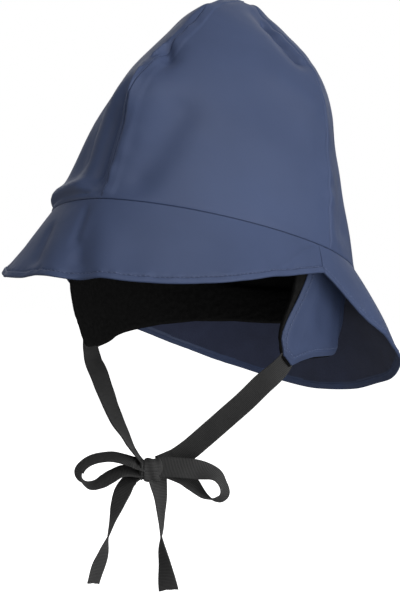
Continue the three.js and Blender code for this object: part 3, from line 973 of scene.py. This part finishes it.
class RAINHAT_OT_brim(PieceOperator, bpy.types.Operator):
    """Cuts and hems the brim"""
    bl_idname = "rain_hat.brim"
    bl_label = "Brim"

    def execute(self, context):
        skirt_piece("brim_cloth", "brim", BRIM_EDGE, BRIM_FLARE, -NOTCH, NOTCH, *self.values(context))
        return {"FINISHED"}


class RAINHAT_OT_neck_flap(PieceOperator, bpy.types.Operator):
    """Cuts and hems the neck flap"""
    bl_idname = "rain_hat.neck_flap"
    bl_label = "Neck Flap"

    def execute(self, context):
        skirt_piece("neck_flap_cloth", "neck_flap", FLAP_EDGE, FLAP_FLARE, NOTCH, 360 - NOTCH,
                    *self.values(context))
        return {"FINISHED"}


def fleece_angles():
    """Angles round the band, closer together at the front edge of each ear flap."""
    half = np.concatenate([np.arange(0, 74, 1.2), np.arange(74, 100, 0.3), np.arange(100, 180, 1.2)])
    return np.concatenate([half, [180], -half[:0:-1]])


class RAINHAT_OT_fleece(PieceOperator, bpy.types.Operator):
    """Lines the opening and the ear flaps with fleece"""
    bl_idname = "rain_hat.fleece"
    bl_label = "Fleece Lining"

    def execute(self, context):
        sizes, colours = self.values(context)
        thick = sizes.fleece / MM
        angle, v = grid(fleece_angles(), np.linspace(0, 1, 46)[::-1])
        tall = BAND_TOP + band_edge(angle)
        point, facing = band_surface(angle, BAND_TOP - tall * v)
        ends = rounded((1 - v) * tall, 1.1) * rounded(v * tall, 1.1)
        pile = 1 + 0.16 * soft_noise(point, size=4.5, seed=21) + 0.1 * soft_noise(point, size=2.6, seed=22)
        half = 0.5 * thick * ends * np.clip(pile, 0.7, 1.25)
        piece = cloth("fleece_lining", worn(point - facing * thick / 2), worn(facing), half,
                      [finish(black_pile, colours)], ring=True)
        dress(piece, "fleece",
              "fleece_band_front", "fleece_band_back", "ear_lining_left", "ear_lining_right")
        return {"FINISHED"}


def ear_surface(angle, v):
    """Middle of an ear flap's coated cloth, from the band at v = 0 to its lower edge at v = 1.

    It lies over the fleece, drawn in to it along the front and lower edges and along its stitches.
    """
    drop = band_edge(angle) - EAR_SHELL_SHORT
    height = BAND_HANGS_FROM - (drop + BAND_HANGS_FROM) * v
    from_front = np.radians(np.abs(angle) - EAR_SHELL["front"]) * CROWN_RINGS["side"][0]
    from_edge = (1 - v) * (drop + BAND_HANGS_FROM)
    wide = EAR_DRAWN_IN["wide"]
    sewn = (1 - smoothstep(from_front, 0, wide)) + (1 - smoothstep(from_edge, 0, wide))
    point, facing = band_surface(angle, height)
    away = EAR_SHELL["away"] + EAR_PUFF - EAR_DRAWN_IN["deep"] * np.clip(sewn, 0, 1)
    away = away - EAR_GROOVE["deep"] * bell(from_front - EAR_FRONT_STITCH, EAR_GROOVE["wide"])
    away = away - EAR_GROOVE["deep"] * bell(from_edge - EAR_LOWER_STITCH, EAR_GROOVE["wide"])
    loose = smoothstep(np.minimum(from_front, from_edge), 3, 9)
    away = away + 0.35 * soft_noise(point, size=16, seed=31) * loose
    return point + facing * away[..., None], facing, from_front, from_edge


class RAINHAT_OT_ear_flaps(PieceOperator, bpy.types.Operator):
    """Covers both ear flaps with coated cloth"""
    bl_idname = "rain_hat.ear_flaps"
    bl_label = "Ear Flaps"

    def execute(self, context):
        sizes, colours = self.values(context)
        around = EAR_SHELL["front"] + (EAR_SHELL["back"] - EAR_SHELL["front"]) * spaced(105, 1.0)
        for name, side in (("left", 1), ("right", -1)):
            angle, v = grid(side * around[::side], spaced(58, 1.1)[::-1])
            point, facing, from_front, from_edge = ear_surface(angle, v)
            from_back = np.radians(EAR_SHELL["back"] - np.abs(angle)) * CROWN_RINGS["side"][0]
            half = sizes.cloth / MM / 2 * rounded(from_front, 0.6) * rounded(from_edge, 0.6)
            half = half * rounded(from_back, 0.6)
            half[:, -1] = 0
            piece = cloth("ear_flap_cloth_" + name, worn(point), worn(facing), half,
                          [finish(rain_coating, colours)])
            dress(piece, "hemmed_cloth", "ear_flap_" + name)
        return {"FINISHED"}


def tape_grid(rows, width, spacing):
    """The middle of a tape on its route, with its width square to the run and to the tape's face."""
    stations = dict(rows, k=np.arange(len(rows["up"]), dtype=float))

    def place(k):
        """The point of the route at station k, from the columns across, out and up."""
        return np.stack([follow(stations, "k", k, "across"), -follow(stations, "k", k, "out"),
                         follow(stations, "k", k, "up")], -1)

    fine = np.linspace(0, len(rows["up"]) - 1, 1500)
    travelled = distance_run(place(fine))
    length = travelled[-1]
    s = np.concatenate([[0, 0.06, 0.16], np.arange(0.3, length - 0.3, spacing),
                        [length - 0.16, length - 0.06, length]])
    k = np.interp(s, travelled, fine)
    run = unit(place(np.minimum(k + 0.02, stations["k"][-1])) - place(np.maximum(k - 0.02, 0)))
    turn = np.radians(-follow(stations, "k", k, "turn"))[:, None]
    face_on = unit(np.array([0, -1, 0]) + run * run[:, 1:2])
    face = face_on * np.cos(turn) + np.cross(run, face_on) * np.sin(turn)
    across = np.cross(run, face)
    edge = np.array([0, 0.05, 0.16, 0.34, 0.6])
    w = np.concatenate([edge, np.linspace(1, width - 1, 9), (width - edge)[::-1]]) - width / 2
    middle = place(k)[None] + across[None] * w[:, None, None]
    return middle, np.broadcast_to(face, middle.shape), w, s, length


def tape_piece(name, rows, sizes, colours, node, tail=False):
    """A tape: ribs across it as a sine of the distance run, thinner between them, with round edges."""
    width = sizes.tape_width / MM
    rib = sizes.rib / MM
    middle, face, w, s, length = tape_grid(rows, width, rib / 6)
    w, s = grid(w, s)
    from_side = width / 2 - np.abs(w)
    from_end = np.minimum(s, length - s)
    ribs = TAPE["rib"] * np.sin(2 * np.pi * s / rib) * smoothstep(from_side, 0.3, 1.1)
    half = (sizes.tape_thickness / MM / 2 + ribs) * rounded(from_side, 0.45) * rounded(from_end, 0.3)
    cup = TAPE["cup"] * ((2 * w / width) ** 2 - 0.4) + TAPE["wave"] * soft_noise(middle, size=14, seed=41)
    middle = middle + face * cup[..., None]
    if tail:
        near_end = smoothstep(s, length - TAPE["frayed"], length)
        run = np.gradient(middle, axis=1)
        frayed = 0.5 * np.cos(np.pi * w / width) + 0.12 * np.sin(4.1 * w)
        middle = middle - unit(run) * (frayed * near_end)[..., None]
    uv = np.stack([w + width / 2, s], -1)
    woven = finish(woven_tape, colours, sizes)
    piece = cloth(name, hung(middle), hung(face, 0.0), half, [woven], uv=uv)
    dress(piece, "tape", node)


class RAINHAT_OT_ties(PieceOperator, bpy.types.Operator):
    """Hangs the two straps, two loops and two tails"""
    bl_idname = "rain_hat.ties"
    bl_label = "Tie Tapes"

    def execute(self, context):
        sizes, colours = self.values(context)
        routes = {"strap_left": STRAP_LEFT, "strap_right": STRAP_RIGHT, "loop_left": LOOP_LEFT,
                  "loop_right": LOOP_RIGHT, "tail_left": TAIL_LEFT, "tail_right": TAIL_RIGHT}
        for name, rows in routes.items():
            part_of = "tie_" if name.startswith("strap") else "bow_"
            tape_piece(name, rows, sizes, colours, part_of + name, tail=name.startswith("tail"))
        return {"FINISHED"}


def knot_points():
    """The wrapped knot, in the bow's own frame, and its UV map in millimetres.

    Seen from the side it is a rounded oblong: its reach is over the cube root of |cos|³ + |sin|³. It
    closes at both ends as the root of 1 less the fifth power of the share of the way out. One fold,
    two slack waves and the tape's ribs move its surface in or out.
    """
    turn, share = grid(np.linspace(0, 2 * np.pi, 120, endpoint=False), np.linspace(-1, 1, 60))
    c, s = np.cos(turn), np.sin(turn)
    bulk = (np.abs(c) ** 3 + np.abs(s) ** 3) ** (-1 / 3)
    ends = np.sqrt(np.clip(1 - np.abs(share) ** 5, 0, 1))
    across = KNOT["across"] / 2 * share
    fold = -0.75 * bell(across + 4.2, 0.45) + 0.35 * bell(across + 5.3, 0.7)
    slack = 0.28 * np.sin(1.1 * across + 2 * turn) + 0.2 * np.cos(3 * turn)
    rib = 0.05 * np.sin(turn * 42)
    uneven = fold + slack + rib
    out = (KNOT["out"] / 2 + uneven) * ends * bulk * c
    up = (KNOT["up"] / 2 + uneven) * ends * bulk * s
    return np.stack([across, -out, up + 0.03 * across], -1), np.stack([across, turn * KNOT["up"] / 2], -1)


class RAINHAT_OT_knot(PieceOperator, bpy.types.Operator):
    """Wraps the tape round the middle of the bow"""
    bl_idname = "rain_hat.knot"
    bl_label = "Bow Knot"

    def execute(self, context):
        sizes, colours = self.values(context)
        points, uv = knot_points()
        faces = grid_faces(*points.shape[:2], True, True, 0).tolist()
        piece = add_piece("knot_wrap", hung(points).reshape(-1, 3), faces,
                          [finish(woven_tape, colours, sizes)], uv=uv.reshape(-1, 2))
        dress(piece, "tape", "bow_knot")
        return {"FINISHED"}


def skirt_stitches(edge, flare, start, end):
    """The hem's stitches on the outer face of the brim or neck flap."""
    angle = np.linspace(start + 0.6, end - 0.6, 700)
    length = np.hypot(follow(edge, "angle", angle, "out"), follow(edge, "angle", angle, "down"))
    point, facing, _, _ = skirt_surface(edge, flare, angle, 1 - HEM_STITCH / length)
    return worn(point + facing * STITCH["off"]), worn(facing)


def ear_stitches(side, half):
    """Stitches down the front edge of an ear flap's coated face and along its lower edge."""
    front = EAR_SHELL["front"] + np.degrees(EAR_FRONT_STITCH / CROWN_RINGS["side"][0])
    down = band_edge(side * front) - EAR_SHELL_SHORT + BAND_HANGS_FROM
    v = np.linspace(0.1, 1 - EAR_LOWER_STITCH / down, 200)
    angle = np.linspace(front, EAR_SHELL["back"] - 2, 400)
    lengths = band_edge(side * angle) - EAR_SHELL_SHORT + BAND_HANGS_FROM
    rows = []
    for around, share in ((np.full_like(v, front), v), (angle, 1 - EAR_LOWER_STITCH / lengths)):
        point, facing, _, _ = ear_surface(side * around, share)
        rows.append((worn(point + facing * half), worn(facing)))
    return rows


class RAINHAT_OT_stitching(PieceOperator, bpy.types.Operator):
    """Sews the visible stitches of the hems and ear flaps"""
    bl_idname = "rain_hat.stitching"
    bl_label = "Stitching"

    def execute(self, context):
        sizes, colours = self.values(context)
        twisted = finish(thread, colours)
        hems = [skirt_stitches(BRIM_EDGE, BRIM_FLARE, -NOTCH, NOTCH),
                skirt_stitches(FLAP_EDGE, FLAP_FLARE, NOTCH, 360 - NOTCH)]
        ears = ear_stitches(1, sizes.cloth / MM / 2) + ear_stitches(-1, sizes.cloth / MM / 2)
        dress(stitch_rows("hem_stitches", hems, sizes, twisted), "hemmed_cloth")
        dress(stitch_rows("ear_flap_stitches", ears, sizes, twisted), "hemmed_cloth")
        return {"FINISHED"}


def area_light(name, place, size, power):
    """A rectangular lamp that faces the hat's origin and isn't seen itself."""
    data = bpy.data.lights.new(name, "AREA")
    data.shape = "RECTANGLE"
    data.size, data.size_y = size
    data.energy = power
    light = bpy.data.objects.new(name, data)
    light.location = place
    light.rotation_euler = (-place).to_track_quat("-Z", "Y").to_euler()
    light.visible_camera = False
    bpy.context.scene.collection.objects.link(light)


def pale_room():
    """A white room that lights the hat more softly than it shows behind it."""
    world = bpy.data.worlds.new("pale_room")
    world.use_nodes = True
    nodes = world.node_tree.nodes
    shown = nodes["Background"]
    light = nodes.new("ShaderNodeBackground")
    for node, strength in ((shown, 1), (light, ROOM_LIGHT)):
        node.inputs["Color"].default_value = (1, 1, 1, 1)
        node.inputs["Strength"].default_value = strength
    mix = nodes.new("ShaderNodeMixShader")
    links = world.node_tree.links
    links.new(nodes.new("ShaderNodeLightPath").outputs["Is Camera Ray"], mix.inputs["Fac"])
    links.new(light.outputs["Background"], mix.inputs[1])
    links.new(shown.outputs["Background"], mix.inputs[2])
    links.new(mix.outputs["Shader"], nodes["World Output"].inputs["Surface"])
    return world


class RAINHAT_OT_stage(PieceOperator, bpy.types.Operator):
    """Sets the pale floor, the soft lights and the camera"""
    bl_idname = "rain_hat.stage"
    bl_label = "Stage"

    def execute(self, context):
        _, colours = self.values(context)
        low = CAD_BOX[0][2] - FLOOR_BELOW
        half = FLOOR_SIZE / 2
        corners = [[-half, -half, low], [half, -half, low], [half, half, low], [-half, half, low]]
        corners = np.array(corners) / MM
        floor = add_piece("floor", corners, [[0, 1, 2, 3]], [finish(pale_floor, colours)])
        floor.visible_diffuse = False
        floor.visible_glossy = False
        floor.visible_shadow = False

        azimuth = math.radians(CAMERA["azimuth"])
        back = Vector((math.sin(azimuth), -math.cos(azimuth), 0))
        right = Vector((math.cos(azimuth), math.sin(azimuth), 0))
        up = Vector((0, 0, 1))
        target = right * CAMERA["across"] + up * CAMERA["up"]
        data = bpy.data.cameras.new("camera")
        data.sensor_width = 36
        data.lens = CAMERA["lens"]
        camera = bpy.data.objects.new("camera", data)
        aim = (-back).to_track_quat("-Z", "Y").to_matrix().to_4x4()
        camera.matrix_world = (Matrix.Translation(target + back * CAMERA["distance"]) @ aim
                               @ Matrix.Rotation(math.radians(CAMERA["roll"]), 4, "Z"))
        context.scene.collection.objects.link(camera)
        context.scene.camera = camera

        for name, turn, height, size, power in LIGHTS:
            turn, height = math.radians(turn), math.radians(height)
            level = back * math.cos(turn) + right * math.sin(turn)
            place = (level * math.cos(height) + up * math.sin(height)) * LIGHTS_AWAY
            area_light(name, place, size, power)
        context.scene.world = pale_room()
        context.scene.view_settings.view_transform = "Standard"
        return {"FINISHED"}


PIECE_OPERATORS = (RAINHAT_OT_crown, RAINHAT_OT_brim, RAINHAT_OT_neck_flap, RAINHAT_OT_fleece,
                   RAINHAT_OT_ear_flaps, RAINHAT_OT_ties, RAINHAT_OT_knot, RAINHAT_OT_stitching,
                   RAINHAT_OT_stage)


class RAINHAT_PT_sidebar(bpy.types.Panel):
    """Lists the hat's sizes, colours and pieces"""
    bl_idname = "RAINHAT_PT_sidebar"
    bl_label = "Rain Hat"
    bl_space_type = "VIEW_3D"
    bl_region_type = "UI"
    bl_category = "Rain Hat"

    def draw(self, context):
        for group in (context.scene.rain_hat_sizes, context.scene.rain_hat_colours):
            box = self.layout.box()
            for name in group.__annotations__:
                box.prop(group, name)
        for operator in PIECE_OPERATORS:
            self.layout.operator(operator.bl_idname)


CLASSES = (RainHatSizes, RainHatColours, *PIECE_OPERATORS, RAINHAT_PT_sidebar)


def register():
    for each in CLASSES:
        bpy.utils.register_class(each)
    bpy.types.Scene.rain_hat_sizes = bpy.props.PointerProperty(type=RainHatSizes)
    bpy.types.Scene.rain_hat_colours = bpy.props.PointerProperty(type=RainHatColours)


def unregister():
    del bpy.types.Scene.rain_hat_colours
    del bpy.types.Scene.rain_hat_sizes
    for each in reversed(CLASSES):
        bpy.utils.unregister_class(each)


def main():
    """Registers the classes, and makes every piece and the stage."""
    register()
    bpy.ops.rain_hat.crown()
    bpy.ops.rain_hat.brim()
    bpy.ops.rain_hat.neck_flap()
    bpy.ops.rain_hat.fleece()
    bpy.ops.rain_hat.ear_flaps()
    bpy.ops.rain_hat.ties()
    bpy.ops.rain_hat.knot()
    bpy.ops.rain_hat.stitching()
    bpy.ops.rain_hat.stage()


if __name__ == "__main__":
    main()
